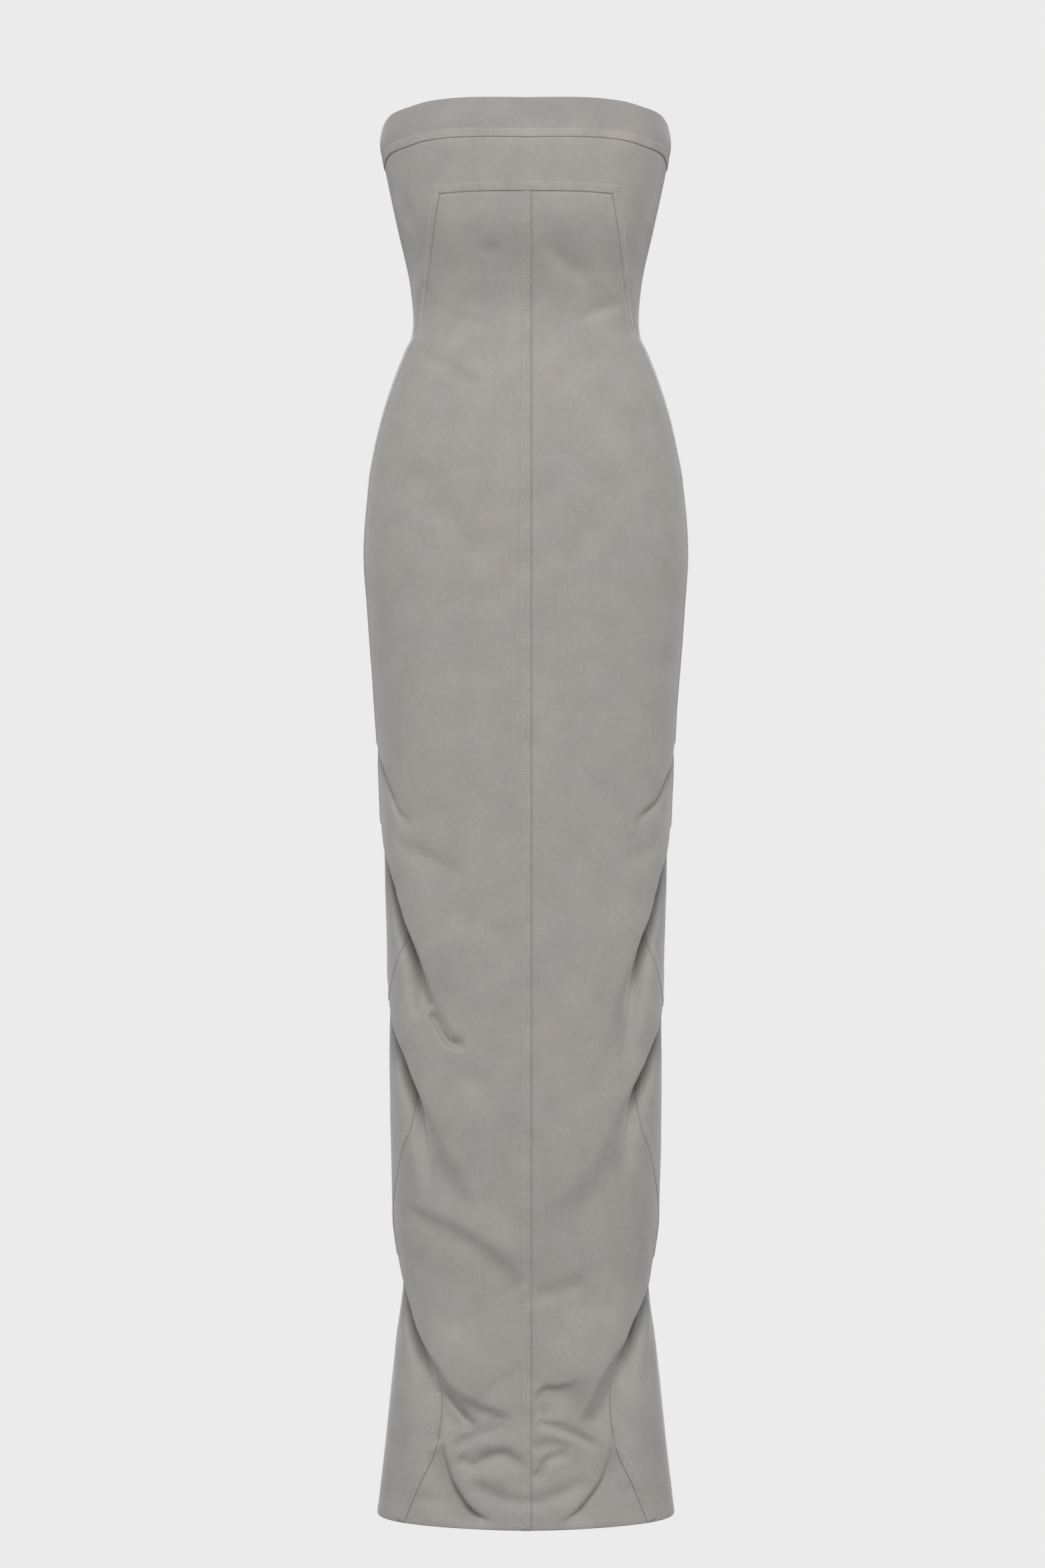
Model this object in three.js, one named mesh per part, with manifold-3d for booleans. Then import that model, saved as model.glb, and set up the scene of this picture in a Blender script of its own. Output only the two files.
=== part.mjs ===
import * as THREE from "three";
import { mergeVertices } from "three/addons/utils/BufferGeometryUtils.js";
import Module from "manifold-3d";

// A strapless dress in cotton twill, hollow, with the form that it takes when it is worn.
// Millimetres, +Z up, the front towards -Y, left and right as seen from the front.
// The origin is the middle of the ring that the top band makes round the bust.
// Angles are degrees round the dress: 0 is the centre front, 90 the right side, 180 the centre back.

// Cloth and seams
const clothWall = 2; // measured level through the wall
const seamGap = 0.3; // between two pieces sewn together, and under what lies on a panel
const fellWidth = 7.8; // felled seam, from the seam to its row of stitches
const fellWall = 1; // doubled cloth of a felled seam, proud of the panel
const arcPerDegree = 2.34; // mean length of one degree round the dress

// Heights
const topEdge = 21;
const bandSeam = -20;
const bibSeam = -73;
const hem = -1372;
const sideDipEnds = -130; // the top edge's dip towards the back has died away here

// Seams round the dress
const centreSeamX = 4.9; // the centre front is the middle of the felled seam
const sideSeamAngle = 97;
const zipTapeHalf = 12;
const zipEnds = -290;

// Metal zip fittings
const slider = { top: 1, width: 7, foot: 4.4, height: 11, thick: 2 };
const pin = { z: -3, radius: 0.8, standOff: 2.5, earThick: 1, earRadius: 1.6 };
const pull = {
  eyeOuter: 2,
  eyeInner: 1.15,
  eyeWidth: 4,
  length: 26,
  width: 5.4,
  thick: 1.2,
  earClearance: 1,
  neckInto: 2,
  slotFrom: 0.45,
  slotTo: 0.75,
  slotShare: 0.2,
};
const overlap = 0.5; // by how much solids that are joined run into each other
const mergeWithin = 1e-4;

// Lattice: cells across each stretch and down each stretch
const cells = { back: 7, side: 4, front: 9, band: 1, yoke: 2, bodice: 12, skirt: 46 };
const skirtTop = -590;
const squareness = 0.035; // how much fuller than an oval each level section is
const cornerPeak = 0.105; // the most that the corner's wave reaches, 60 degrees round
const sideCalm = 0.8; // how much of each fold is pulled flat where the cloth turns to the side
const facingShare = 0.3; // how far folds turn outwards, of the way that the cloth faces
const leastDrop = 11; // least width of a fold's steep side, so that the lattice can follow it

const twill = 0x9b9893;
const nickel = 0x8e8f90;

const table = (columns, rows) =>
  rows.map((row) => Object.fromEntries(columns.split(" ").map((name, i) => [name, row[i]])));

// Level sections: half the width, the depth in front of and behind the side line, and how far
// the section fills out into corners beside the side seams.
const sections = table("z halfWidth front back corner", [
  [22, 141, 99, 94, 0],
  [-8, 146.4, 108, 97, 0],
  [-30, 142, 113, 98, 0],
  [-88, 129.6, 114, 94, 0],
  [-152, 116, 96, 86, 0],
  [-184, 113.2, 90, 84, 0],
  [-200, 114.6, 91, 85, 0],
  [-216, 121.8, 93, 88, 0],
  [-248, 134.3, 100, 97, 0],
  [-280, 144.4, 106, 106, 0],
  [-312, 152, 110, 113, 0],
  [-345, 157.8, 113, 119, 0],
  [-417, 163, 116, 125, 0],
  [-474, 159.5, 117, 122, 0],
  [-570, 151.8, 119, 113, 0],
  [-650, 147.2, 121, 107, 0],
  [-750, 141.8, 122, 104, 0],
  [-876, 137.7, 124, 103, 0],
  [-1036, 135, 125, 103, 0],
  [-1085, 133.5, 124, 104, 0],
  [-1149, 124.3, 122, 105, 0],
  [-1213, 131, 124, 110, 0.016],
  [-1261, 135.8, 127, 115, 0.037],
  [-1310, 139.4, 130, 120, 0.065],
  [-1374, 144, 135, 128, 0.1],
]);

// How far the top edge and the band's seam lie below their height at the centre front.
const edgeDip = table("angle drop", [
  [0, 0],
  [28, -1.5],
  [41, -0.5],
  [52, 2.5],
  [67, 5],
  [81, 10.5],
  [90, 12.5],
  [130, 15],
  [180, 16],
]);

// The seam between centre front and side front: it swings with the folds below the thigh.
const sideFrontSeam = table("z angle", [
  [-73, 38],
  [-116, 46],
  [-161, 56],
  [-201, 66],
  [-247, 70],
  [-319, 75],
  [-415, 79],
  [-560, 84],
  [-660, 85],
  [-705, 80],
  [-741, 67],
  [-775, 58],
  [-795, 55],
  [-820, 62],
  [-850, 71],
  [-869, 75.5],
  [-884, 73],
  [-915, 60],
  [-943, 53],
  [-957, 52],
  [-986, 54],
  [-1011, 61],
  [-1042, 69],
  [-1073, 78],
  [-1110, 83],
  [-1140, 77],
  [-1165, 65],
  [-1195, 49.5],
  [-1221, 40],
  [-1241, 37],
  [-1267, 36],
  [-1300, 37.5],
  [-1333, 43],
  [-1372, 48.5],
]);

// The largest folds. A crest runs from left to right through angle,z pairs. The cloth swells to
// rise above the crest and drops steeply below it to dip, or to sideDip towards the sides of the
// front. It comes back over the reach. A fold grows over fadeIn and dies away over fadeOut.
const folds = table("rise dip sideDip drop swell reach fadeIn fadeOut crest", [
  [3, 4, 7, 7, 26, 18, 30, 30, "-92,-598 -80,-619 -71,-633 -65,-647 -59,-664 -46,-688"],
  [8, 10, 16, 6, 40, 34, 30, 10, "-94,-668 -77,-710 -65,-741 -55,-786 -47,-819 -41,-856 -38,-872"],
  [8, 9, 16, 15, 42, 36, 30, 50, "-94,-826 -77,-866 -59,-915 -45,-968 -38,-998 -30,-1027 -14,-1078"],
  [4, 5, 5, 8, 18, 22, 26, 10, "-60,-1066 -40,-1081 -22,-1097 -8,-1125 1,-1147"],
  [10, 15, 18, 14, 46, 32, 24, 26, "-92,-1112 -76,-1138 -61,-1172 -52,-1193 -36,-1226 -27,-1240"],
  [5, 5, 5, 6, 22, 13, 12, 8, "-36,-1226 -28,-1239 -21,-1249 -13,-1251 -7,-1266"],
  [3, 4, 7, 7, 26, 18, 26, 30, "42,-690 59,-664 67,-645 76,-631 84,-612 92,-596"],
  [7, 7, 16, 20, 40, 36, 60, 30, "10,-968 27,-935 36,-889 47,-828 57,-781 65,-743 77,-712 94,-668"],
  [7, 9, 16, 14, 42, 34, 14, 30, "0,-1078 19,-1050 27,-1032 39,-984 53,-933 69,-893 79,-868 94,-828"],
  [10, 14, 18, 12, 46, 32, 12, 24, "20,-1276 30,-1246 36,-1224 45,-1200 54,-1173 75,-1138 92,-1112"],
  [-5, 0, 0, 9, 10, 9, 16, 16, "-34,-1276 -32,-1292 -27,-1325 -21,-1347 -10,-1361 -2,-1361"],
  [-4, 0, 0, 9, 10, 9, 16, 16, "10,-1361 18,-1353 26,-1330 31,-1305 33,-1280"],
  [4, 4, 4, 12, 35, 32, 40, 60, "102,-702 120,-734 140,-758 160,-770"],
  [4, 4, 4, 12, 35, 32, 60, 40, "-166,-764 -148,-756 -126,-734 -104,-696"],
  [4, 5, 5, 12, 38, 34, 40, 60, "102,-892 122,-922 142,-944 168,-950"],
  [4, 5, 5, 12, 38, 34, 60, 40, "-160,-934 -140,-926 -122,-906 -103,-872"],
  [5, 6, 6, 12, 40, 34, 40, 60, "101,-1104 118,-1136 140,-1160 170,-1166"],
  [5, 6, 6, 12, 40, 34, 60, 40, "-174,-1160 -142,-1152 -120,-1130 -102,-1098"],
]).map((fold) => ({ ...fold, crest: fold.crest.split(" ").map((pair) => pair.split(",").map(Number)) }));

// A smooth curve through two columns of a table that never overshoots its rows.
function curveOf(rows, from, to) {
  const points = rows.map((row) => [row[from], row[to]]).sort((a, b) => a[0] - b[0]);
  const slopes = points.slice(1).map((p, i) => (p[1] - points[i][1]) / (p[0] - points[i][0]));
  const tangents = points.map((_, i) => {
    const before = slopes[Math.max(i - 1, 0)];
    const after = slopes[Math.min(i, slopes.length - 1)];
    return before * after > 0 ? (2 * before * after) / (before + after) : 0;
  });
  return (at) => {
    const last = points.length - 2;
    const i = Math.min(Math.max(points.findIndex((p) => p[0] > at) - 1, 0), last);
    const k = at >= points[last + 1][0] ? last : i;
    const span = points[k + 1][0] - points[k][0];
    const t = THREE.MathUtils.clamp((at - points[k][0]) / span, 0, 1);
    const s = t * t * (3 - 2 * t);
    return (
      points[k][1] * (1 - s) +
      points[k + 1][1] * s +
      span * t * (1 - t) * ((1 - t) * tangents[k] - t * tangents[k + 1])
    );
  };
}

const halfWidthAt = curveOf(sections, "z", "halfWidth");
const frontAt = curveOf(sections, "z", "front");
const backAt = curveOf(sections, "z", "back");
const cornerAt = curveOf(sections, "z", "corner");
const dipAt = curveOf(edgeDip, "angle", "drop");
const seamAngleAt = curveOf(sideFrontSeam, "z", "angle");

const { degToRad, radToDeg, lerp, smoothstep } = THREE.MathUtils;

// A bell of height 1 that has sunk to about a third at the given width.
const bell = (distance, width) => Math.exp(-((distance / width) ** 2));

// What one fold adds to the cloth at a place on it, laid out flat in millimetres.
function foldAt({ crest, rise, dip, sideDip, drop, swell, reach, fadeIn, fadeOut }, u, z) {
  let nearest = Infinity;
  let above = 0;
  let along = 0;
  let length = 0;
  for (let i = 0; i + 1 < crest.length; i++) {
    const [u0, z0] = [crest[i][0] * arcPerDegree, crest[i][1]];
    const [du, dz] = [crest[i + 1][0] * arcPerDegree - u0, crest[i + 1][1] - z0];
    const span = Math.hypot(du, dz);
    const t = THREE.MathUtils.clamp(((u - u0) * du + (z - z0) * dz) / span ** 2, 0, 1);
    const distance = Math.hypot(u - u0 - t * du, z - z0 - t * dz);
    if (distance < nearest) {
      nearest = distance;
      above = du * (z - z0) - dz * (u - u0);
      along = length + t * span;
    }
    length += span;
  }
  const angle = Math.abs(u) / arcPerDegree;
  const calm = lerp(1, smoothstep(Math.abs(angle - 90), 4, 24), sideCalm);
  const fade = calm * smoothstep(along, 0, fadeIn) * smoothstep(length - along, 0, fadeOut);
  const longFade = calm * smoothstep(along, 0, fadeIn) * smoothstep(length - along, 0, 3 * fadeOut);
  if (above >= 0) return longFade * rise * bell(nearest, swell);
  const steep = Math.max(drop, leastDrop);
  const hollow = lerp(dip, sideDip, smoothstep(angle, 44, 62)) * fade;
  return longFade * rise * bell(nearest, steep) + hollow * (bell(nearest, steep) - bell(nearest, reach));
}

// The way that folds bulge: mostly to the front or the back, so that the outline stays plain.
function foldFacing(t) {
  const toBack = smoothstep(Math.abs(t), degToRad(80), degToRad(100));
  return Math.sign(t) * (lerp(0, Math.abs(t), facingShare) + (1 - facingShare) * Math.PI * toBack);
}

// A point on the dress at an angle and height, moved outwards, level, from the folded cloth.
function clothPoint(angle, z, outwards) {
  const turned = angle > 180 ? angle - 360 : angle;
  const t = degToRad(turned);
  const [sin, cos] = [Math.sin(t), Math.cos(t)];
  const a = halfWidthAt(z);
  const b = cos > 0 ? frontAt(z) : backAt(z);
  const fill = 1 + squareness * Math.sin(2 * t) ** 2 + (cornerAt(z) * sin ** 6 * cos ** 2) / cornerPeak;
  const out = new THREE.Vector2(sin / a, -cos / b).normalize();
  const folded = folds.reduce((sum, fold) => sum + foldAt(fold, turned * arcPerDegree, z), 0);
  const facing = foldFacing(t);
  return new THREE.Vector3(
    a * sin * fill + out.x * outwards + Math.sin(facing) * folded,
    -b * cos * fill + out.y * outwards - Math.cos(facing) * folded,
    z,
  );
}

// Rows of the lattice, from the top edge to the hem, as heights at the centre front.
const steps = (from, to, count) => Array.from({ length: count }, (_, i) => lerp(from, to, i / count));
const rowHeights = [
  ...steps(topEdge, bandSeam + fellWidth, cells.band),
  bandSeam + fellWidth,
  ...steps(bandSeam, bibSeam + fellWidth, cells.yoke),
  bibSeam + fellWidth,
  ...steps(bibSeam, skirtTop, cells.bodice),
  ...steps(skirtTop, hem, cells.skirt),
  hem,
];
const rowOf = (height) => rowHeights.findIndex((z) => Math.abs(z - height) < 0.01);
const bandRow = rowOf(bandSeam);
const bibRow = rowOf(bibSeam);
const hemRow = rowHeights.length - 1;

// A felled strip keeps its width square to its seam, so it spans more where the seam slants.
function fellAngleAt(z) {
  const step = 4;
  const slant = ((seamAngleAt(z + step) - seamAngleAt(z - step)) * arcPerDegree) / (2 * step);
  return (fellWidth * Math.min(Math.hypot(1, slant), 2)) / arcPerDegree;
}

// Angles of the lattice's columns at one height, from the centre back round the left to the front
// and on round the right. The centre back is the first column, and closes the ring.
function columnAngles(z) {
  const seam = seamAngleAt(Math.min(z, bibSeam));
  const fellEdge = seam + fellAngleAt(Math.min(z, bibSeam - 10));
  const centreSeam = radToDeg(centreSeamX / halfWidthAt(z));
  const centreFell = radToDeg((centreSeamX - fellWidth) / halfWidthAt(z));
  const tape = 180 - radToDeg(zipTapeHalf / halfWidthAt(z));
  return [
    -180,
    ...steps(-tape, -sideSeamAngle, cells.back),
    ...steps(-sideSeamAngle, -fellEdge, cells.side),
    -fellEdge,
    ...steps(-seam, centreFell, cells.front),
    centreFell,
    ...steps(centreSeam, seam, cells.front),
    seam,
    ...steps(fellEdge, sideSeamAngle, cells.side),
    ...steps(sideSeamAngle, tape, cells.back),
    tape,
  ];
}
const columnCount = columnAngles(bibSeam).length;
const column = {
  leftTape: 1,
  leftSide: 1 + cells.back,
  leftFell: 1 + cells.back + cells.side,
  leftSeam: 2 + cells.back + cells.side,
  centreFell: 2 + cells.back + cells.side + cells.front,
  centreSeam: 3 + cells.back + cells.side + cells.front,
  rightSeam: 3 + cells.back + cells.side + 2 * cells.front,
  rightFell: 4 + cells.back + cells.side + 2 * cells.front,
  rightSide: 4 + cells.back + 2 * cells.side + 2 * cells.front,
  rightTape: columnCount - 1,
};

// A lattice point: column and row, nudged along the cloth, then moved outwards.
function latticePoint(i, j, nudgeAcross, nudgeDown, outwards) {
  const level = rowHeights[j];
  const angle = columnAngles(level)[i] + nudgeAcross / arcPerDegree;
  const shown = 1 - smoothstep(-level, -bandSeam, -sideDipEnds);
  const z = level - dipAt(Math.min(Math.abs(angle), 180)) * shown - nudgeDown;
  return clothPoint(angle, z, outwards);
}

// A wall over those cells of the lattice that belong to a piece. Where a neighbouring cell is
// missing the edge draws back by half a seam gap.
function wallOver(owns, inner, outer) {
  const has = (i, j) => j >= 0 && j < hemRow && owns((i + columnCount) % columnCount, j);
  const places = [];
  const faces = [];
  const numbered = new Map();
  const vertex = (i, j) => {
    const k = (i + columnCount) % columnCount;
    const key = k * rowHeights.length + j;
    if (!numbered.has(key)) {
      let across = 0;
      let down = 0;
      for (const [di, dj] of [[-1, -1], [0, -1], [-1, 0], [0, 0]]) {
        if (has(k + di, j + dj)) continue;
        across += di < 0 ? 1 : -1;
        down += dj < 0 ? 1 : -1;
      }
      const nudge = [(Math.sign(across) * seamGap) / 2, (Math.sign(down) * seamGap) / 2];
      numbered.set(key, places.length);
      places.push(latticePoint(k, j, ...nudge, outer), latticePoint(k, j, ...nudge, inner));
    }
    return numbered.get(key);
  };
  const quad = (a, b, c, d) => faces.push(a, b, c, a, c, d);
  for (let j = 0; j < hemRow; j++)
    for (let i = 0; i < columnCount; i++) {
      if (!has(i, j)) continue;
      const corner = [vertex(i, j), vertex(i, j + 1), vertex(i + 1, j + 1), vertex(i + 1, j)];
      quad(...corner);
      const [a, b, c, d] = corner.map((v) => v + 1);
      quad(a, d, c, b);
      const beyond = [has(i - 1, j), has(i, j + 1), has(i + 1, j), has(i, j - 1)];
      beyond.forEach((joined, side) => {
        const [from, to] = [corner[side], corner[(side + 1) % 4]];
        if (!joined) quad(to, from, from + 1, to + 1);
      });
    }
  const geometry = new THREE.BufferGeometry().setFromPoints(places);
  geometry.setIndex(faces);
  geometry.computeVertexNormals();
  return geometry;
}

const dress = new THREE.Group();

function addPiece(name, geometry, color, roughness, metalness) {
  const mesh = new THREE.Mesh(geometry, new THREE.MeshStandardMaterial({ color, roughness, metalness }));
  mesh.name = name;
  dress.add(mesh);
  return mesh;
}

const between = (value, from, to) => value >= from && value < to;
const overFront = (i) => between(i, column.leftSide, column.rightSide);
const overBib = (i) => between(i, column.leftSeam, column.rightSeam);

// The cut pieces of cloth
const panels = {
  band_front: (i, j) => j < bandRow && overFront(i),
  band_back_left: (i, j) => j < bandRow && i < column.leftSide,
  band_back_right: (i, j) => j < bandRow && i >= column.rightSide,
  front_yoke: (i, j) => j >= bandRow && overFront(i) && !(j >= bibRow && overBib(i)),
  centre_front_left: (i, j) => j >= bibRow && between(i, column.leftSeam, column.centreSeam),
  centre_front_right: (i, j) => j >= bibRow && between(i, column.centreSeam, column.rightSeam),
  back_left: (i, j) => j >= bandRow && i < column.leftSide,
  back_right: (i, j) => j >= bandRow && i >= column.rightSide,
};
for (const [name, owns] of Object.entries(panels))
  addPiece(name, wallOver(owns, -clothWall, 0), twill, 0.9, 0);

// The felled seams: doubled cloth that stands proud beside each seam, on the same cells
const felledSeams = {
  felled_seam_band: (i, j) => j === bandRow - 1 && i > 0 && i < column.rightTape,
  felled_seam_bib: (i, j) => j === bibRow - 1 && between(i, column.leftFell, column.rightFell),
  felled_seam_centre: (i, j) => j >= bibRow && i === column.centreFell,
  felled_seam_side_left: (i, j) => j >= bibRow && i === column.leftFell,
  felled_seam_side_right: (i, j) => j >= bibRow && i === column.rightSeam,
};
for (const [name, owns] of Object.entries(felledSeams))
  addPiece(name, wallOver(owns, seamGap, seamGap + fellWall), twill, 0.9, 0);

// The zip's tape lies inside, across the centre-back seam
const zipFoot = rowHeights.findIndex((z) => z < zipEnds);
const onTape = (i, j) => j < zipFoot && (i === 0 || i === column.rightTape);
addPiece("zip_tape", wallOver(onTape, -clothWall - seamGap - fellWall, -clothWall - seamGap), twill, 0.8, 0);

const wasm = await Module();
wasm.setup();

// A closed three.js geometry as a solid, and back again
function solidOf(geometry) {
  const bare = new THREE.BufferGeometry();
  bare.setAttribute("position", geometry.getAttribute("position"));
  bare.setIndex(geometry.index);
  const merged = mergeVertices(bare, mergeWithin);
  const vertProperties = new Float32Array(merged.attributes.position.array);
  const triVerts = new Uint32Array(merged.index.array);
  return new wasm.Manifold(new wasm.Mesh({ numProp: 3, vertProperties, triVerts }));
}
function geometryOf(solid) {
  const { vertProperties, triVerts } = solid.getMesh();
  const geometry = new THREE.BufferGeometry();
  geometry.setAttribute("position", new THREE.BufferAttribute(vertProperties, 3));
  geometry.setIndex(new THREE.BufferAttribute(triVerts, 1));
  geometry.computeVertexNormals();
  return geometry;
}

// An upright plate, drawn in x and z, whose inner face is at one y
function plate(shape, y, thick) {
  return new THREE.ExtrudeGeometry(shape, { depth: thick, bevelEnabled: false, curveSegments: 8 })
    .rotateX(Math.PI / 2)
    .translate(0, y + thick, 0);
}

// A round bar along x, centred on the pull's hinge
const hingeFacets = 20;
function barAlongX(radius, length, x, y, z) {
  const bar = new THREE.CylinderGeometry(radius, radius, length, hingeFacets);
  return bar.rotateZ(Math.PI / 2).translate(x, y, z);
}

// An outline with round shoulders that narrows to a round foot, hanging from a height
function tongue(top, height, shoulder, foot) {
  const shape = new THREE.Shape();
  shape.moveTo(-shoulder, top - shoulder);
  shape.absarc(0, top - shoulder, shoulder, Math.PI, 0, true);
  shape.lineTo(foot, top - height + foot);
  shape.absarc(0, top - height + foot, foot, 0, Math.PI, true);
  return shape;
}

// The slider lies on the seam below the top edge, with two ears and a pin for the pull.
const backWall = Math.max(backAt(slider.top), backAt(slider.top - slider.height));
const sliderFace = backWall + seamGap + slider.thick;
const hinge = { y: sliderFace + pin.standOff, z: pin.z };
const earInner = pull.eyeWidth / 2 + seamGap;
const sliderShape = tongue(slider.top, slider.height, slider.width / 2, slider.foot / 2);
let sliderSolid = solidOf(plate(sliderShape, backWall + seamGap, slider.thick));
for (const side of [-1, 1]) {
  const x = side * (earInner + pin.earThick / 2);
  const ear = barAlongX(pin.earRadius, pin.earThick, x, hinge.y, hinge.z);
  const foot = new THREE.BoxGeometry(pin.earThick, pin.standOff + overlap, 2 * pin.earRadius);
  foot.translate(x, sliderFace + (pin.standOff - overlap) / 2, hinge.z);
  sliderSolid = sliderSolid.add(solidOf(ear)).add(solidOf(foot));
}
const pinLength = 2 * (earInner + pin.earThick / 2);
sliderSolid = sliderSolid.add(solidOf(barAlongX(pin.radius, pinLength, 0, hinge.y, hinge.z)));
addPiece("zip_slider", geometryOf(sliderSolid), nickel, 0.35, 1);

// The pull swings on the pin: an eye, a neck and a tongue with a slot
const neckTop = hinge.z - pull.eyeInner - overlap / 2;
const tongueTop = hinge.z - pin.earRadius - pull.earClearance;
const tongueShape = tongue(tongueTop, pull.length, pull.width / 2, pull.width / 2);
const slot = new THREE.Path();
const slotHalf = pull.width * pull.slotShare;
slot.absarc(0, tongueTop - pull.length * pull.slotFrom, slotHalf, 0, Math.PI, false);
slot.absarc(0, tongueTop - pull.length * pull.slotTo, slotHalf, Math.PI, 2 * Math.PI, false);
tongueShape.holes.push(slot);
const neckFoot = tongueTop - pull.neckInto;
const neck = new THREE.BoxGeometry(pull.eyeWidth / 2, pull.thick, neckTop - neckFoot);
neck.translate(0, hinge.y, (neckTop + neckFoot) / 2);
const eye = solidOf(barAlongX(pull.eyeOuter, pull.eyeWidth, 0, hinge.y, hinge.z));
const bore = solidOf(barAlongX(pull.eyeInner, pull.eyeWidth + 2 * overlap, 0, hinge.y, hinge.z));
const pullSolid = eye
  .add(solidOf(neck))
  .add(solidOf(plate(tongueShape, hinge.y - pull.thick / 2, pull.thick)))
  .subtract(bore);
addPiece("zip_pull", geometryOf(pullSolid), nickel, 0.35, 1);

export default dress;
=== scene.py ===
# %% [markdown]
# # A strapless dress in grey cotton twill
#
# The frame holds the dress as plain solids: thin walls of cloth, the felled seams and the
# zip. This lesson keeps their places and gives every piece its real surface: the folds that
# hang round the knees, the stitched seams, and the soft, washed look of garment-dyed cloth.

from math import radians

import bmesh
import bpy
import numpy as np
from mathutils import Matrix, Vector


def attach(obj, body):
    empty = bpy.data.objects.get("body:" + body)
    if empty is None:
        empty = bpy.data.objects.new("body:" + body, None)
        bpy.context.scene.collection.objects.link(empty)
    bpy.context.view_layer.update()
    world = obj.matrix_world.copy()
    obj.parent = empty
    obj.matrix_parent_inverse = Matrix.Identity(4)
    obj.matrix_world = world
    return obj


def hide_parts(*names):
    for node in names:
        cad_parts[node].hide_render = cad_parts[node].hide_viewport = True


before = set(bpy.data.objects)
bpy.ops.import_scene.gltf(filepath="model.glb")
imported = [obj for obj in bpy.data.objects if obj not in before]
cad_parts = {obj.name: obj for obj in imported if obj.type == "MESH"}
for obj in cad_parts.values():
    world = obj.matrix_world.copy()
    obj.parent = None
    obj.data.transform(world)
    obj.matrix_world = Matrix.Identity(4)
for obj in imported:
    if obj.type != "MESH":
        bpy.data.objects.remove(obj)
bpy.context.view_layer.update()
print("pieces in the frame:", sorted(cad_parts))

# %% [markdown]
# ## Sizes
#
# All sizes are in millimetres and are turned to metres at the end. A place on the dress is
# an angle, 0 at the centre front and growing to the right, and a height. The seams lie where
# the solids have them.

# %% Sizes of the dress
MM = 0.001
SQUARENESS = 0.035  # how much fuller than an oval each level section is
CORNER_PEAK = 9.5  # brings the highest place of a hem corner's bump to one
ARC = 2.34  # millimetres along the cloth for one degree, on average
TOP, BAND, BIB, HEM = 21, -20, -73, -1372
WAIST, HIP = -184, -417
CENTRE_SEAM_X = 4.9
SIDE_SEAM = 97
FELL_WIDTH = 7.8
STITCH = 3.0  # from one stitch to the next
CLOTH = 1.4  # thickness of one layer of twill


def table(columns, text):
    """A small table of numbers, as one array for each named column."""
    rows = np.array([line.split() for line in text.strip().splitlines()], float)
    return dict(zip(columns.split(), rows.T))


SECTIONS = table("z width front back corner", """
       22  141.0   99   94  0.000
       -8  146.4  108   97  0.000
      -30  142.0  113   98  0.000
      -88  129.6  114   94  0.000
     -152  116.0   96   86  0.000
     -184  113.2   90   84  0.000
     -200  114.6   91   85  0.000
     -216  121.8   93   88  0.000
     -248  134.3  100   97  0.000
     -280  144.4  106  106  0.000
     -312  152.0  110  113  0.000
     -345  157.8  113  119  0.000
     -417  163.0  116  125  0.000
     -474  159.5  117  122  0.000
     -570  151.8  119  113  0.000
     -650  147.2  121  107  0.000
     -750  141.8  122  104  0.000
     -876  137.7  124  103  0.000
    -1036  135.0  125  103  0.000
    -1085  133.5  124  104  0.000
    -1149  124.3  122  105  0.000
    -1213  131.0  124  110  0.016
    -1261  135.8  127  115  0.037
    -1310  139.4  130  120  0.065
    -1374  144.0  135  128  0.100
""")
EDGE_DIP = table("angle drop", """
    0    0
    28  -1.5
    41  -0.5
    52   2.5
    67   5
    81  10.5
    90  12.5
    130 15
    180 16
""")
FRONT_SEAM = table("z angle", """
      -73   38
     -116   46
     -161   56
     -201   66
     -247   70
     -319   75
     -415   79
     -560   84
     -660   85
     -705   80
     -741   67
     -775   58
     -795   55
     -820   62
     -850   71
     -869   75.5
     -884   73
     -915   60
     -943   53
     -957   52
     -986   54
    -1011   61
    -1042   69
    -1073   78
    -1110   83
    -1140   77
    -1165   65
    -1195   49.5
    -1221   40
    -1241   37
    -1267   36
    -1300   37.5
    -1333   43
    -1372   48.5
""")
print(len(SECTIONS["z"]), "level sections,", len(FRONT_SEAM["z"]), "marks on each side-front seam")

# %% [markdown]
# A cutter draws a shaped seam through a few marks with a curve that never swings past them.
# `curve_of` does the same between two columns of a table, so one row moves one place only.

# %% Curves through the tables
def curve_of(rows, at, value):
    """A smooth curve through two columns of a table that never overshoots its rows."""
    order = np.argsort(rows[at])
    x, y = rows[at][order], rows[value][order]
    slope = np.diff(y) / np.diff(x)
    before, after = np.append(slope[0], slope), np.append(slope, slope[-1])
    same = before * after > 0
    total = np.where(same, before + after, 1.0)
    tangent = np.where(same, 2 * before * after / total, 0.0)

    def curve(places):
        places = np.asarray(places, float)
        k = np.clip(np.searchsorted(x, places, "right") - 1, 0, len(x) - 2)
        span = x[k + 1] - x[k]
        t = np.clip((places - x[k]) / span, 0, 1)
        s = t * t * (3 - 2 * t)
        bend = span * t * (1 - t) * ((1 - t) * tangent[k] - t * tangent[k + 1])
        return y[k] * (1 - s) + y[k + 1] * s + bend

    return curve


width_at = curve_of(SECTIONS, "z", "width")
front_at = curve_of(SECTIONS, "z", "front")
back_at = curve_of(SECTIONS, "z", "back")
corner_at = curve_of(SECTIONS, "z", "corner")
dip_at = curve_of(EDGE_DIP, "angle", "drop")
front_seam_at = curve_of(FRONT_SEAM, "z", "angle")


def smoothstep(value, low, high):
    """0 up to `low`, 1 from `high` on, and a soft step between them."""
    t = np.clip((value - low) / (high - low), 0, 1)
    return t * t * (3 - 2 * t)


def bell(distance, width):
    """1 in the middle, and nearly 0 from twice the width on."""
    return np.exp(-((distance / width) ** 2))


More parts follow.
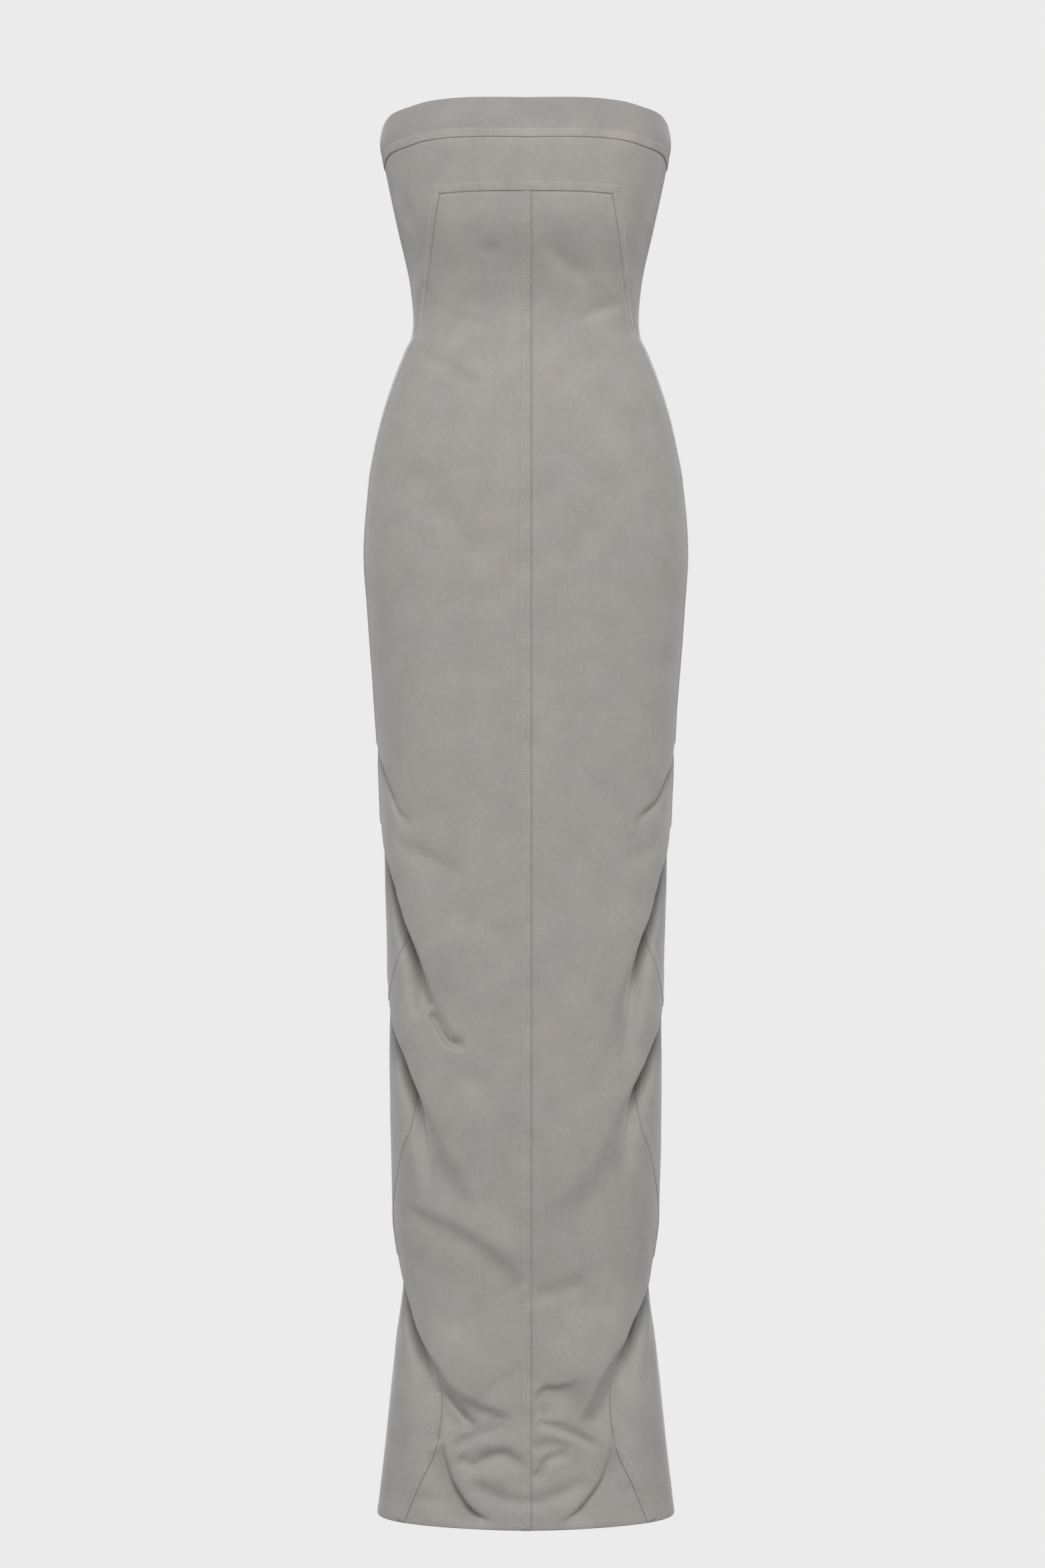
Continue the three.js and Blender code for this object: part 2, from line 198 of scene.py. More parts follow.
waist_width, hip_width = (round(2 * float(width_at(level))) for level in (WAIST, HIP))
print("waist", waist_width, "mm and hip", hip_width, "mm wide")

# %% [markdown]
# ## Folds
#
# A narrow skirt that is a little too long for the pose sinks into swags: the front bulges
# down over the side and breaks there in a sharp, shadowed step. Each row of `STEPS` follows
# one such break from left to right. `rise` is the bulge above it, `dip` the hollow below it,
# `drop` how suddenly it falls, and `swell` and `reach` how far the bulge and hollow spread.
# `lip` is how far the edge leans over the hollow, if it does. A pair holds the value on the
# front and the value at the side. The pair after the path is the length of its soft ends.
# The folds could be simulated, but placed one by one they lie where the real ones do.

# %% The breaks and their hollows
def fold(places, fade, **sizes):
    """One fold: a path of angle,height pairs, its soft ends and its sizes in millimetres."""
    path = np.array([pair.split(",") for pair in places.split()], float)
    path[:, 0] *= ARC
    return {"path": smooth_path(path), "fade": fade, **sizes}


def smooth_path(points, steps=6):
    """A round path through all the points."""
    ends = [2 * points[0] - points[1]], [2 * points[-1] - points[-2]]
    p = np.concatenate([ends[0], points, ends[1]])
    t = np.linspace(0, 1, steps, endpoint=False)[:, None]
    spans = []
    for a, b, c, d in zip(p, p[1:], p[2:], p[3:]):
        curve = 2 * b + (c - a) * t + (2 * a - 5 * b + 4 * c - d) * t**2
        spans.append((curve + (3 * b - a - 3 * c + d) * t**3) / 2)
    return np.concatenate([*spans, points[-1:]])


STEPS = [
    # Left side, from the thigh down
    fold("-92,-598 -80,-619 -71,-633 -65,-647 -59,-664 -55,-677 -46,-688",
         (30, 30), rise=3, swell=26, lip=(0, 2), drop=(7, 4), dip=(4, 9), reach=18),
    fold("-94,-668 -85,-688 -77,-710 -65,-741 -55,-786 -47,-819 -41,-856 -38,-872",
         (30, 10), rise=9, swell=40, lip=(4, 5), drop=(5, 4), dip=(14, 39), reach=34),
    fold("-94,-826 -86,-845 -77,-866 -70,-890 -59,-915 -52,-940 -45,-968 -38,-998 -30,-1027 "
         "-22,-1056 -14,-1078",
         (30, 60), rise=9, swell=42, lip=(0, 5), drop=(15, 4), dip=(9, 39), reach=38),
    fold("-60,-1058 -50,-1067 -40,-1073 -31,-1079 -22,-1089 -15,-1101 -8,-1116 -3,-1128 "
         "1,-1137",
         (26, 10), rise=4.5, swell=20, drop=(13, 8), dip=(6, 6), reach=24),
    fold("-92,-1110 -84,-1122 -74,-1139 -63,-1163 -53,-1188 -45,-1207 -38.5,-1222 -33,-1240 "
         "-28.5,-1256 -25,-1266 -22.5,-1274",
         (24, 8), rise=11, swell=46, lip=(1, 6), drop=(12, 5), dip=(20, 48), reach=38),
    fold("-36,-1226 -30,-1237 -24.5,-1246 -18.5,-1253 -13,-1257 -9,-1260 -7,-1266 -7.5,-1272",
         (16, 6), rise=4, swell=18, drop=(7, 7), dip=(5, 5), reach=14),
    fold("-36,-1270 -35,-1284 -33.5,-1297 -32,-1311 -29.5,-1327 -26,-1340 -22,-1352 -17,-1360 "
         "-10,-1365",
         (50, 30), rise=4, swell=12, lip=(3, 3), drop=(3.5, 3.5), dip=(18, 18), reach=19),
    # Right side
    fold("42,-690 50,-677 59,-664 67,-645 76,-631 84,-612 92,-596",
         (26, 30), rise=3, swell=26, lip=(0, 2), drop=(7, 4), dip=(4, 9), reach=18),
    fold("14,-960 21,-951 27,-935 32,-912 36,-889 41,-858 47,-828 52,-800 57,-781 65,-743 "
         "77,-712 86,-688 94,-668",
         (80, 30), rise=8, swell=40, lip=(0, 5), drop=(18, 4), dip=(7, 39), reach=36),
    fold("0,-1078 9,-1062 19,-1050 27,-1032 35,-1004 39,-984 46,-956 53,-933 60,-913 69,-893 "
         "79,-868 88,-845 94,-828",
         (60, 30), rise=8, swell=42, lip=(0, 5), drop=(18, 4), dip=(6, 39), reach=36),
    fold("22,-1274 27,-1258 30.5,-1243 34,-1229 40,-1211 47,-1196 54,-1177 66,-1158 78,-1139 "
         "84,-1124 92,-1110",
         (12, 24), rise=11, swell=46, lip=(1, 6), drop=(12, 5), dip=(20, 48), reach=38),
    fold("3.5,-1266 3.7,-1255 3.5,-1246 5.5,-1237 9,-1234 13,-1234 18,-1231 23,-1227",
         (5, 20), rise=1.5, swell=12, drop=(4.2, 4.2), dip=(4.5, 4.5), reach=22),
    fold("10,-1365 16,-1361 20.5,-1353 25.5,-1340 30,-1326 33,-1310 35,-1289 36,-1270",
         (30, 50), rise=3, swell=12, lip=(2, 2), drop=(3.5, 3.5), dip=(13, 13), reach=16),
    # Round the back
    fold("102,-702 120,-734 140,-758 160,-770",
         (40, 60), rise=4, swell=35, drop=(12, 12), dip=(4, 4), reach=32),
    fold("-166,-764 -148,-756 -126,-734 -104,-696",
         (60, 40), rise=4, swell=35, drop=(12, 12), dip=(4, 4), reach=32),
    fold("102,-892 122,-922 142,-944 168,-950",
         (40, 60), rise=4, swell=38, drop=(12, 12), dip=(5, 5), reach=34),
    fold("-160,-934 -140,-926 -122,-906 -103,-872",
         (60, 40), rise=4, swell=38, drop=(12, 12), dip=(5, 5), reach=34),
    fold("101,-1104 118,-1136 140,-1160 170,-1166",
         (40, 60), rise=5, swell=40, drop=(12, 12), dip=(6, 6), reach=34),
    fold("-174,-1160 -142,-1152 -120,-1130 -102,-1098",
         (60, 40), rise=5, swell=40, drop=(12, 12), dip=(6, 6), reach=34),
]

# %% [markdown]
# Between the breaks run smaller troughs and ridges. `CREASES` lists them with a `height`
# outwards, negative for a trough, and a half width above and below the line.

# %% The smaller creases
CREASES = [
    # Basin above the hem, left of the centre
    fold("-36,-1239 -31.5,-1252 -28,-1261 -25,-1268 -22.5,-1277",
         (20, 3), height=-8.5, above=6, below=3.5),
    fold("-8,-1270 -13.5,-1278 -17.5,-1282 -22.5,-1287 -27,-1293 -30,-1303",
         (5, 16), height=-3.4, above=3.5, below=9),
    fold("-28.5,-1302 -24.5,-1309 -21,-1312 -17.5,-1307 -12.5,-1301 -8,-1301 -4,-1307 1,-1314",
         (10, 12), height=-3.6, above=6, below=6),
    fold("-24,-1324 -18,-1334 -12.5,-1340 -7,-1344 -2,-1346 5.5,-1345 11.5,-1340 18,-1334 "
         "25,-1321",
         (18, 18), height=-2.9, above=7, below=7),
    fold("-46,-1347 -40,-1348 -34,-1349 -28.5,-1353 -23.5,-1360 -16.5,-1366",
         (16, 16), height=-2.1, above=7, below=6),
    fold("-23.5,-1283 -16.5,-1291 -9,-1290 -3,-1286", (12, 12), height=2.6, above=9, below=9),
    fold("-21.5,-1320 -14,-1322 -6,-1325", (12, 12), height=2, above=9, below=9),
    # Basin above the hem, right of the centre
    fold("4,-1269 8.5,-1272 14.5,-1277 21.5,-1285 27,-1293 30.5,-1302",
         (5, 20), height=-3.4, above=6, below=3.5),
    fold("2,-1298 5.5,-1292 9.5,-1291 14,-1293 20,-1299", (8, 12), height=-2.6, above=6, below=7),
    fold("3.5,-1315 5,-1319 6.5,-1313 8.5,-1306 13.5,-1302 19,-1301",
         (4, 12), height=-3.9, above=4.5, below=4.5),
    fold("33.5,-1334 39,-1339 45.5,-1335", (10, 10), height=-2.1, above=8, below=8),
    fold("2,-1148 12,-1145 20,-1139 29,-1131", (8, 20), height=-2.2, above=9, below=9),
    # Side panels below the lowest break
    fold("-82.5,-1190 -69,-1211 -58.5,-1234 -54,-1256",
         (16, 22), height=-4.9, above=11, below=11),
    fold("83,-1188 71.5,-1205 62.5,-1226 58,-1250", (16, 22), height=-6, above=10, below=10),
    # Bodice and waist
    fold("4,-119 10,-127 16,-135 21,-142 28,-152 35,-161",
         (24, 26), height=-1.5, above=9, below=9),
    fold("-24,-124 -17,-127 -9,-126", (14, 14), height=-1.2, above=6, below=7),
    fold("20,-198 25,-195 30,-191 37,-185 46,-179 56,-176",
         (30, 22), height=-2.6, above=8, below=6),
    fold("-60,-66 -57,-92 -56,-122 -58,-152", (24, 24), height=-2.9, above=9, below=12),
    fold("60,-70 57,-94 56,-122 58,-150", (24, 24), height=-2.3, above=12, below=9),
    fold("-57,-150 -62,-170 -66,-186 -68,-198", (10, 8), height=-3.4, above=8, below=8),
    fold("-66,-146 -72,-170 -74,-190", (10, 8), height=2.2, above=8, below=8),
    fold("55,-152 62,-172 67,-190 69,-200", (10, 8), height=-2.9, above=8, below=8),
    fold("-74,-60 -70,-80 -67,-100 -68,-120", (16, 16), height=2.6, above=8, below=12),
    fold("76,-64 72,-84 70,-108", (16, 16), height=2.1, above=10, below=10),
    fold("-62,-204 -66,-200 -74,-196", (8, 8), height=-3, above=5, below=6),
    fold("62,-204 68,-200 76,-197", (8, 8), height=-2.9, above=5, below=6),
    fold("-40,-183 -33,-192 -24,-198 -15,-200", (18, 18), height=-1.4, above=7, below=7),
    fold("-56,-224 -48,-230 -42,-235 -33,-243 -25,-254 -18,-266",
         (20, 20), height=-2.6, above=7, below=7),
    # Hips and thighs
    fold("-47,-330 -41,-350 -35,-370 -29,-387 -23,-404 -18,-423 -10,-440",
         (26, 30), height=-2.2, above=13, below=13),
    fold("42,-336 36,-358 30,-382 24,-402 17,-425 10,-448",
         (26, 30), height=-1.8, above=14, below=14),
    fold("-62,-698 -54,-711 -47,-716 -34,-730 -22,-744",
         (14, 24), height=-2.5, above=9, below=11),
    fold("66,-702 57,-714 48,-722 36,-733", (14, 20), height=-2.1, above=9, below=11),
    fold("-34,-772 -22,-785 -10,-798 -3,-806", (20, 24), height=-1.6, above=14, below=14),
    fold("-30,-925 -20,-938 -8,-944", (16, 20), height=-1.6, above=12, below=12),
    # The short hook at the knee, sharp on its lower left, and two shallow troughs below it
    fold("-24,-908 -29,-906 -32.5,-903 -35,-896 -37,-888 -39.5,-881 -43,-874",
         (14, 5), height=-10, above=1.8, below=7.5),
    fold("24,-1150 33.5,-1160 45,-1158", (16, 16), height=-1.6, above=14, below=14),
    fold("-47,-1160 -35.5,-1176 -23.5,-1184", (16, 16), height=-1.3, above=14, below=14),
]
print(len(STEPS), "breaks and", len(CREASES), "creases")

# %% [markdown]
# ## The cloth surface
#
# Every piece of the dress is taken from one surface, so neighbours meet along each seam as
# sewn pieces do. The surface is a rounded level section at each height, moved outwards by
# the folds and by a faint unevenness that no pressed cloth is free of.

# %% The nearest place on a fold
def beside(path, u, z):
    """Distance from a path, whether a place is above it, how far along it the nearest place is,
    how long the path is, and the way down across it."""
    start, span = path[:-1], np.diff(path, axis=0)
    length = np.hypot(*span.T)
    done = np.concatenate([[0], np.cumsum(length)])
    to = np.stack([u, z], 1)[:, None] - start
    t = np.clip((to * span).sum(2) / length**2, 0, 1)
    gap = np.hypot(*np.moveaxis(to - t[..., None] * span, 2, 0))
    rows, k = np.arange(len(u)), gap.argmin(1)
    above = span[k, 0] * to[rows, k, 1] - span[k, 1] * to[rows, k, 0] >= 0
    along = done[k] + t[rows, k] * length[k]
    down = np.stack([span[k, 1], -span[k, 0]], 1) / length[k][:, None]
    return gap[rows, k], above, along, done[-1], down


example = beside(STEPS[0]["path"], np.array([0.0]), np.array([HIP]))
print("from the middle of the hips to the first break:", round(float(example[0][0])), "mm")

# %% [markdown]
# A break is a bulge that stops suddenly and a hollow that begins there. Where the cloth turns
# to the side it is pulled tight, so every fold is calmer there, and just above the hem too.

# %% The height that one fold adds
SIDE_CALM, SIDE_ZONE = 0.5, (4, 24)  # how much is pulled flat at the side, and how many degrees round it
HEM_CALM, HEM_ZONE = 0.9, (2, 16)  # the same at the hem, in millimetres above it
SIDE_START, SIDE_END = (38, 52), (96, 112)  # degrees where the second value of a pair comes and goes
NARROWER = 0.3  # how much less far a hollow reaches at the side
LEAN_ABOVE, LEAN_BELOW = 1 / 3, 1.6  # how far a lip's lean spreads, in swells above it and drops below
MIN_RISE_FADE = 60  # a bulge begins and ends at least this softly
BELL_END = 2.6  # from this many widths on, a bell adds next to nothing


def add_fold(height, lip, u, z, one):
    """Adds one fold to the height of the cloth, and to its lean over the hollow below."""
    far = BELL_END * max(one.get(size, 0) for size in ("swell", "reach", "above", "below"))
    low, high = one["path"].min(0) - far, one["path"].max(0) + far
    near = np.flatnonzero((u > low[0]) & (u < high[0]) & (z > low[1]) & (z < high[1]))
    if not len(near):
        return
    gap, above, along, whole, down = beside(one["path"], u[near], z[near])
    angle = np.abs(u[near]) / ARC
    calm = 1 - SIDE_CALM * (1 - smoothstep(np.abs(angle - 90), *SIDE_ZONE))
    calm *= 1 - HEM_CALM * (1 - smoothstep(z[near] - HEM, *HEM_ZONE))
    start, end = one["fade"]
    fade = calm * smoothstep(along, 0, start) * smoothstep(whole - along, 0, end)
    if "rise" not in one:
        height[near] += fade * one["height"] * bell(gap, np.where(above, one["above"], one["below"]))
        return
    side = smoothstep(angle, *SIDE_START) * (1 - smoothstep(angle, *SIDE_END))
    front_to_side = lambda pair: pair[0] + (pair[1] - pair[0]) * side
    lean, drop = front_to_side(one.get("lip", (0, 0))) * fade, front_to_side(one["drop"])
    dip, reach = front_to_side(one["dip"]) * fade, one["reach"] * (1 - NARROWER * side)
    rise = one["rise"] * calm * smoothstep(along, 0, max(3 * start, MIN_RISE_FADE))
    rise = rise * smoothstep(whole - along, 0, max(3 * end, MIN_RISE_FADE))
    past = np.where(above, -gap, gap) + lean + drop / 2
    hollow = dip * (bell(past, drop) - bell(past, reach))
    bulge = rise * bell(past, np.where(past < 0, one["swell"], drop))
    height[near] += bulge + np.where(past < 0, 0, hollow)
    spread = np.where(past < 0, one["swell"] * LEAN_ABOVE, drop * LEAN_BELOW)
    lip[near] += (lean * bell(past, spread))[:, None] * down


height, lip = np.zeros(1), np.zeros((1, 2))
add_fold(height, lip, np.array([-50 * ARC]), np.array([-1190.0]), STEPS[4])
print("the lowest left break rises", round(float(height[0]), 1), "mm at its crest")

# %% [markdown]
# No pressed cloth is quite flat. A few dozen faint waves, drawn at random once, keep the plain
# parts from looking like metal, and a shallow groove lies along every seam.

# %% Unevenness and seam grooves
UNEVEN_WAVES = 36
UNEVEN_HEIGHT = 0.0005  # height of a wave for each millimetre of its length
random = np.random.default_rng(7)
wave_length = random.uniform(45, 170, UNEVEN_WAVES)
wave_angle = random.uniform(0, np.pi, UNEVEN_WAVES)
wave_start = random.uniform(0, 2 * np.pi, UNEVEN_WAVES)


def unevenness(u, z):
    """Faint broad waves in the cloth, a few tenths of a millimetre high."""
    total = np.zeros_like(u)
    for length, angle, start in zip(wave_length, wave_angle, wave_start):
        total += np.sin(2 * np.pi * (u * np.cos(angle) + z * np.sin(angle)) / length + start) * length
    return total * UNEVEN_HEIGHT


GROOVE_DEPTH, GROOVE_WIDTH = 0.55, 0.55
FAR = 99  # stands for a seam that is too far away to matter


def seam_groove(u, z, angle):
    """The cloth dips by half a millimetre into each seam line."""
    below_bib = z < BIB + 0.5
    front = np.abs(u) / ARC
    seam = front_seam_at(np.minimum(z, BIB))
    slant = (front_seam_at(np.minimum(z, BIB) + 4) - front_seam_at(np.minimum(z, BIB) - 4)) * ARC / 8
    to_side_front = np.where(below_bib, (front - seam) * ARC / np.hypot(1, slant), FAR)
    centre = CENTRE_SEAM_X - np.sin(np.radians(angle)) * width_at(z)
    to_centre = np.where(below_bib & (np.abs(angle) < 90), centre, FAR)
    to_bib = np.where(front < seam + 0.2, z - BIB, FAR)
    to_side = (front - SIDE_SEAM) * ARC
    to_back = (180 - front) * ARC
    lines = [to_side_front, to_centre, to_bib, to_side, to_back]
    return -GROOVE_DEPTH * np.max([bell(line, GROOVE_WIDTH) for line in lines], axis=0)


print("seams and", UNEVEN_WAVES, "faint waves ready")

# %% [markdown]
# A real fold hangs forwards or backwards from the body, and leaves the outline nearly plain.
# So the folds are not raised straight out from the surface, but mostly along the front or the
# back. The top edge sinks a little towards the back, as it does under the arms.

# %% The whole surface
TURNED = 0.15  # how far the bulge of a fold turns with the body


def fold_facing(t):
    """The way that folds bulge: mostly to the front or the back, so the outline stays plain."""
    to_back = smoothstep(np.abs(t), radians(80), radians(100))
    return t * TURNED + np.sign(t) * (1 - TURNED) * np.pi * to_back


def cloth(angle, z, out=0.0, grooved=True):
    """Places on the folded cloth, in metres, moved outwards by `out` millimetres."""
    angle = (np.asarray(angle, float) + 180) % 360 - 180
    z = np.asarray(z, float)
    t, u = np.radians(angle), angle * ARC
    a = width_at(z)
    b = np.where(np.abs(angle) < 90, front_at(z), back_at(z))
    fill = 1 + SQUARENESS * np.sin(2 * t) ** 2
    fill += corner_at(z) * CORNER_PEAK * np.sin(t) ** 6 * np.cos(t) ** 2
    height, lip = unevenness(u, z), np.zeros((len(z), 2))
    for one in STEPS + CREASES:
        add_fold(height, lip, u, z, one)
    if grooved:
        height += seam_groove(u, z, angle)
    across, ahead = np.sin(t) / a, -np.cos(t) / b
    across, ahead = across / np.hypot(across, ahead), ahead / np.hypot(across, ahead)
    facing = fold_facing(t)
    x = a * np.sin(t) * fill + across * out + np.sin(facing) * height - ahead * lip[:, 0]
    y = -b * np.cos(t) * fill + ahead * out - np.cos(facing) * height + across * lip[:, 0]
    return np.stack([x, y, z + lip[:, 1]], 1) * MM


SAG_END = 130  # this far down, level lines of the cloth are level again


def worn_height(angle, level):
    """Height of a level line: the top edge and the band sink a little towards the back."""
    shown = 1 - smoothstep(-np.asarray(level, float), -BAND, SAG_END)
    return level - dip_at(np.minimum(np.abs(angle), 180)) * shown


print("middle of the hips at", cloth([0], [HIP])[0].round(3), "m")

# %% [markdown]
# ## Camera, light and floor
#
# The surround, the floor and every finish are made of nodes. Each could be wired by hand in
# the editor. Two helpers add a node and fill in its sockets, so a finish reads as one list.

# %% Helpers for nodes
def give(node, **values):
    """Sets a node's sockets and settings; in a socket's name _ stands for a space."""
    for name, value in values.items():
        socket = name.replace("_", " ")
        if socket in node.inputs:
            node.inputs[socket].default_value = value
        else:
            setattr(node, name, value)
    return node


def add(tree, kind, **values):
    """A new node with its sockets and settings."""
    return give(tree.nodes.new(kind), **values)


print("node helpers ready")

# %% [markdown]
# The dress was photographed from straight ahead, at the height of its own middle. A near
# camera would show the top edge from below and the hem from above. A long lens from further
# away keeps both nearly level, as in the photograph.

# %% Camera
PHOTO_HEIGHT = 2353  # pixels
PHOTO_FOCUS = 5224  # focal length in the same pixels
SENSOR = 36  # millimetres
EYE = (-0.00335, -3.5, -0.65)
camera = bpy.data.objects.new("camera", bpy.data.cameras.new("camera"))
camera.data.sensor_width = SENSOR
camera.data.lens = SENSOR * PHOTO_FOCUS / PHOTO_HEIGHT
camera.location = EYE
camera.rotation_euler = (radians(90), 0, 0)
bpy.context.scene.collection.objects.link(camera)
bpy.context.scene.camera = camera
print("lens", round(camera.data.lens, 1), "mm")

# %% [markdown]
# The camera sees a plain pale surround. If it lit the cloth with all its brightness, every
# fold would go flat. So the cloth is lit by a dimmer one, slightly brighter from below, and
# the lamps can shape the folds.

# %% The pale surround
PALE = 0.83
LIGHT_BELOW, LIGHT_ABOVE = 0.28, 0.20
bpy.context.scene.view_settings.view_transform = "Standard"
world = bpy.data.worlds.new("pale surround")
bpy.context.scene.world = world
world.use_nodes = True
surround, links = world.node_tree, world.node_tree.links
surround.nodes.clear()
seen = add(surround, "ShaderNodeBackground", Color=(PALE, PALE, PALE, 1))
lighting = add(surround, "ShaderNodeBackground", Color=(1, 0.99, 0.975, 1))
place = add(surround, "ShaderNodeTexCoord")
split = add(surround, "ShaderNodeSeparateXYZ")
from_above = add(surround, "ShaderNodeMapRange", From_Min=-1, To_Min=LIGHT_BELOW, To_Max=LIGHT_ABOVE)
links.new(place.outputs["Generated"], split.inputs["Vector"])
links.new(split.outputs["Z"], from_above.inputs["Value"])
links.new(from_above.outputs["Result"], lighting.inputs["Strength"])
ray = add(surround, "ShaderNodeLightPath")
pick = add(surround, "ShaderNodeMixShader")
output = add(surround, "ShaderNodeOutputWorld")
links.new(ray.outputs["Is Camera Ray"], pick.inputs["Fac"])
links.new(lighting.outputs["Background"], pick.inputs[1])
links.new(seen.outputs["Background"], pick.inputs[2])
links.new(pick.outputs["Shader"], output.inputs["Surface"])
print(world.name, "is", PALE, "bright")

# %% [markdown]
# One large lamp high in front shows the folds from above. Two small ones brighten the sides,
# and one behind does for the back what the first does for the front.

# %% Lamps
DRESS_MIDDLE = Vector((0, 0, -0.65))


def soft_lamp(name, place, size, power):
    """A large square lamp that faces the middle of the dress."""
    data = bpy.data.lights.new(name, "AREA")
    data.size = size
    data.energy = power
    lamp = bpy.data.objects.new(name, data)
    lamp.location = place
    lamp.rotation_euler = (DRESS_MIDDLE - Vector(place)).to_track_quat("-Z", "Y").to_euler()
    bpy.context.scene.collection.objects.link(lamp)
    print(name, power, "W")


soft_lamp("front lamp", place=(0, -7.2, 3.7), size=3, power=540)
soft_lamp("left lamp", place=(-3.2, -0.8, 0.4), size=1.2, power=29)
soft_lamp("right lamp", place=(3.2, -0.8, 0.4), size=1.2, power=29)
soft_lamp("back lamp", place=(0, 7.2, 3.7), size=3, power=460)

# %% [markdown]
# A white floor would throw light up under the folds. This one has the surround's own colour
# and casts nothing back, so the dress hangs in one even tone.

# %% Floor
FLOOR_LEVEL, FLOOR_RADIUS = -1.7, 9
bm = bmesh.new()
bmesh.ops.create_circle(bm, cap_ends=True, radius=FLOOR_RADIUS, segments=96)
bmesh.ops.translate(bm, verts=bm.verts, vec=(0, 0, FLOOR_LEVEL))
floor = bpy.data.objects.new("floor", bpy.data.meshes.new("floor"))
bm.to_mesh(floor.data)
bm.free()
bpy.context.scene.collection.objects.link(floor)
floor_paint = bpy.data.materials.new("pale floor")
floor_paint.use_nodes = True
floor_paint.node_tree.nodes.clear()
glow = add(floor_paint.node_tree, "ShaderNodeEmission", Color=(PALE, PALE, PALE, 1))
floor_out = add(floor_paint.node_tree, "ShaderNodeOutputMaterial")
floor_paint.node_tree.links.new(glow.outputs["Emission"], floor_out.inputs["Surface"])
floor.data.materials.append(floor_paint)
floor.visible_diffuse = False
floor.visible_glossy = False
floor.visible_shadow = False
print("floor at", FLOOR_LEVEL, "m")

# %% [markdown]
# ## Twill
#
# The cloth is a midweight cotton twill, dyed as a finished garment. Up close its fine
# diagonal ribs show, with slightly uneven yarns. From a step away the dye is faintly patchy,
# some places warm and some cool. All of it is drawn on the piece's own UV map, laid out flat
# in metres, so the weave follows the cloth into each fold.

# %% Small helpers for materials
def noise(tree, flat, scale, detail, stretch=(1, 1, 1)):
    """Smooth noise on the flat cloth; scale is in waves for each metre."""
    mapping = add(tree, "ShaderNodeMapping", Scale=stretch)
    tree.links.new(flat, mapping.inputs["Vector"])
    texture = add(tree, "ShaderNodeTexNoise", Scale=scale, Detail=detail, Roughness=0.55)
    tree.links.new(mapping.outputs["Vector"], texture.inputs["Vector"])
    return texture.outputs["Fac"]


def shift(tree, value, low, high):
    """Noise around one half, as a factor from low to high."""
    reach = add(tree, "ShaderNodeMapRange", From_Min=0.3, From_Max=0.7, To_Min=low, To_Max=high)
    tree.links.new(value, reach.inputs["Value"])
    return reach.outputs["Result"]


def times(tree, first, second):
    """The product of two values."""
    node = add(tree, "ShaderNodeMath", operation="MULTIPLY")
    tree.links.new(first, node.inputs[0])
    tree.links.new(second, node.inputs[1])
    return node.outputs["Value"]


def new_material(name, **values):
    """A material with its node tree and its shader, which is given the values."""
    material = bpy.data.materials.new(name)
    material.use_nodes = True
    shader = give(material.node_tree.nodes["Principled BSDF"], **values)
    return material, material.node_tree, shader


print("helpers ready")

# %% [markdown]
# The colour is a mix of a warm and a cool grey, made uneven four times over: by clouds, by
# grain, by streaks along the warp and by single yarns. The diagonal ribs are only a bump.

# %% The twill material
CLOUDS, GRAIN, STREAKS, YARNS = 0.055, 0.03, 0.012, 0.05  # how much each one lightens or darkens


def cloth_material(name, warm, cool, ribs, contrast=1.0):
    """Dyed cotton with patchy colour and a diagonal weave, on a UV map in metres."""
    material, tree, shader = new_material(
        name, Roughness=0.88, Specular_IOR_Level=0.22, Sheen_Weight=0.45, Sheen_Roughness=0.45
    )
    flat = add(tree, "ShaderNodeUVMap", uv_map="flat cloth").outputs["UV"]

    def uneven(amount, **texture):
        reach = amount * contrast
        return shift(tree, noise(tree, flat, **texture), 1 - reach, 1 + reach)

    patches = noise(tree, flat, scale=15, detail=3)
    tint = add(tree, "ShaderNodeMix", data_type="RGBA", A=(*cool, 1), B=(*warm, 1))
    tree.links.new(shift(tree, patches, 0, 1), tint.inputs["Factor"])

    cloudy = uneven(CLOUDS, scale=34, detail=4)
    grain = uneven(GRAIN, scale=240, detail=2)
    streaks = uneven(STREAKS, scale=420, detail=2, stretch=(1, 0.05, 1))
    yarns = uneven(YARNS, scale=1100, detail=1)
    level = times(tree, times(tree, cloudy, streaks), times(tree, grain, yarns))
    paint = add(tree, "ShaderNodeVectorMath", operation="SCALE")
    tree.links.new(tint.outputs["Result"], paint.inputs[0])
    tree.links.new(level, paint.inputs["Scale"])
    tree.links.new(paint.outputs["Vector"], shader.inputs["Base Color"])

    weave = add(tree, "ShaderNodeTexWave", bands_direction="DIAGONAL", wave_profile="SIN")
    give(weave, Scale=ribs, Distortion=1.2, Detail_Scale=3)
    tree.links.new(flat, weave.inputs["Vector"])
    rough = add(tree, "ShaderNodeMath", operation="ADD")
    tree.links.new(weave.outputs["Fac"], rough.inputs[0])
    tree.links.new(noise(tree, flat, scale=900, detail=2), rough.inputs[1])
    bump = add(tree, "ShaderNodeBump", Strength=0.35, Distance=0.00012)
    tree.links.new(rough.outputs["Value"], bump.inputs["Height"])
    tree.links.new(bump.outputs["Normal"], shader.inputs["Normal"])
    return material


GREYS = (0.347, 0.325, 0.310), (0.322, 0.314, 0.299)  # warm and cool
BAND_GREYS_PAINTED_SHADE = (0.316, 0.297, 0.285), (0.294, 0.287, 0.275)  # darker than the panels: painted shade on the band
TWILL_RIBS = 190
twill = cloth_material("grey twill", *GREYS, TWILL_RIBS)
worn_twill = cloth_material("twill on the felled seams", *GREYS, TWILL_RIBS, contrast=1.5)
# The band's darker greys are painted shade, not a colour of the cloth.
band_twill_painted_shade = cloth_material("twill of the band, darkened as painted shade", *BAND_GREYS_PAINTED_SHADE, TWILL_RIBS)
print("materials:", twill.name, "/", worn_twill.name, "/", band_twill_painted_shade.name)

# %% [markdown]
# The thread is one shade lighter than the cloth and a little smoother. It is too thin for a
# pattern to show, so it has plain values.

